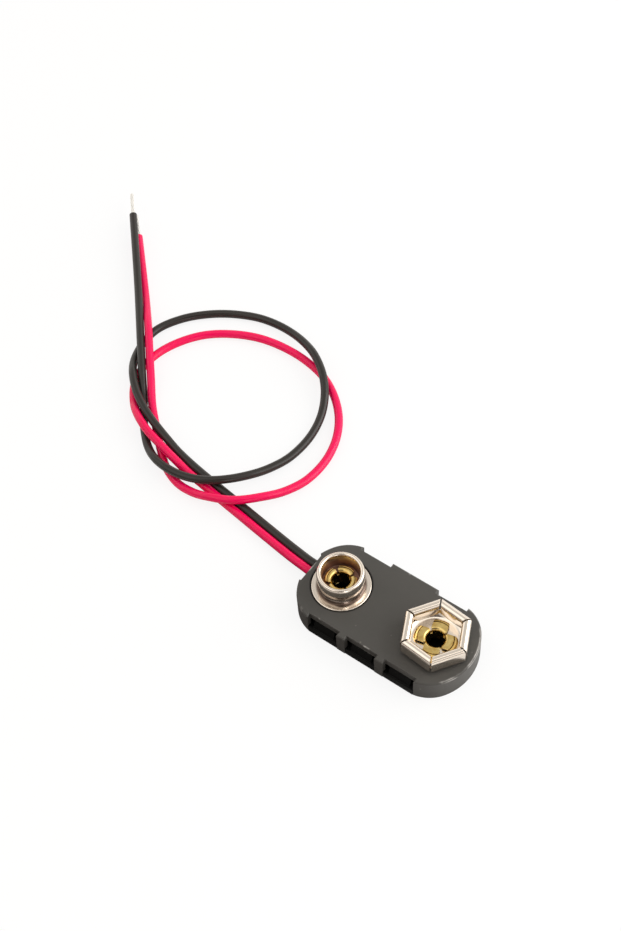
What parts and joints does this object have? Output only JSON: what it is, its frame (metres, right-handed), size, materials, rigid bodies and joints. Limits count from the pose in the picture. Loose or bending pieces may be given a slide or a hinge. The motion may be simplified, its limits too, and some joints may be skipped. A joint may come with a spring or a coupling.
{
  "type": "9v battery snap",
  "caption": "Clip-on connector for a 9 V block battery: slim moulded housing with a stud and a six-sided spring socket, and loosely knotted black and red leads.",
  "frame": {"origin": "centre of the housing's flat back", "axes": "+X along the housing from the stud to the six-sided socket, away from the leads; +Z out of the terminals"},
  "size_m": [0.0791, 0.0416, 0.006],
  "materials": {
    "shell_plastic": "satin moulded black",
    "cover_plastic": "satin moulded black",
    "nickel_plate": "bright nickel plate on pressed brass",
    "brass": "plain pressed brass",
    "solder": "bright solder",
    "tinned_copper": "tinned strands",
    "black_pvc": "smooth black PVC",
    "red_pvc": "smooth red PVC"
  },
  "bodies": {
    "root": {"top_shell": "shell_plastic", "back_cover": "cover_plastic", "stud": "nickel_plate", "hex_socket": "nickel_plate", "stud_eyelet": "brass", "socket_eyelet": "brass", "stud_solder": "solder", "socket_solder": "solder", "black_strands": "tinned_copper", "red_strands": "tinned_copper", "black_lead": "black_pvc", "red_lead": "red_pvc", "black_tip": "tinned_copper", "red_tip": "tinned_copper"}
  },
  "joints": []
}
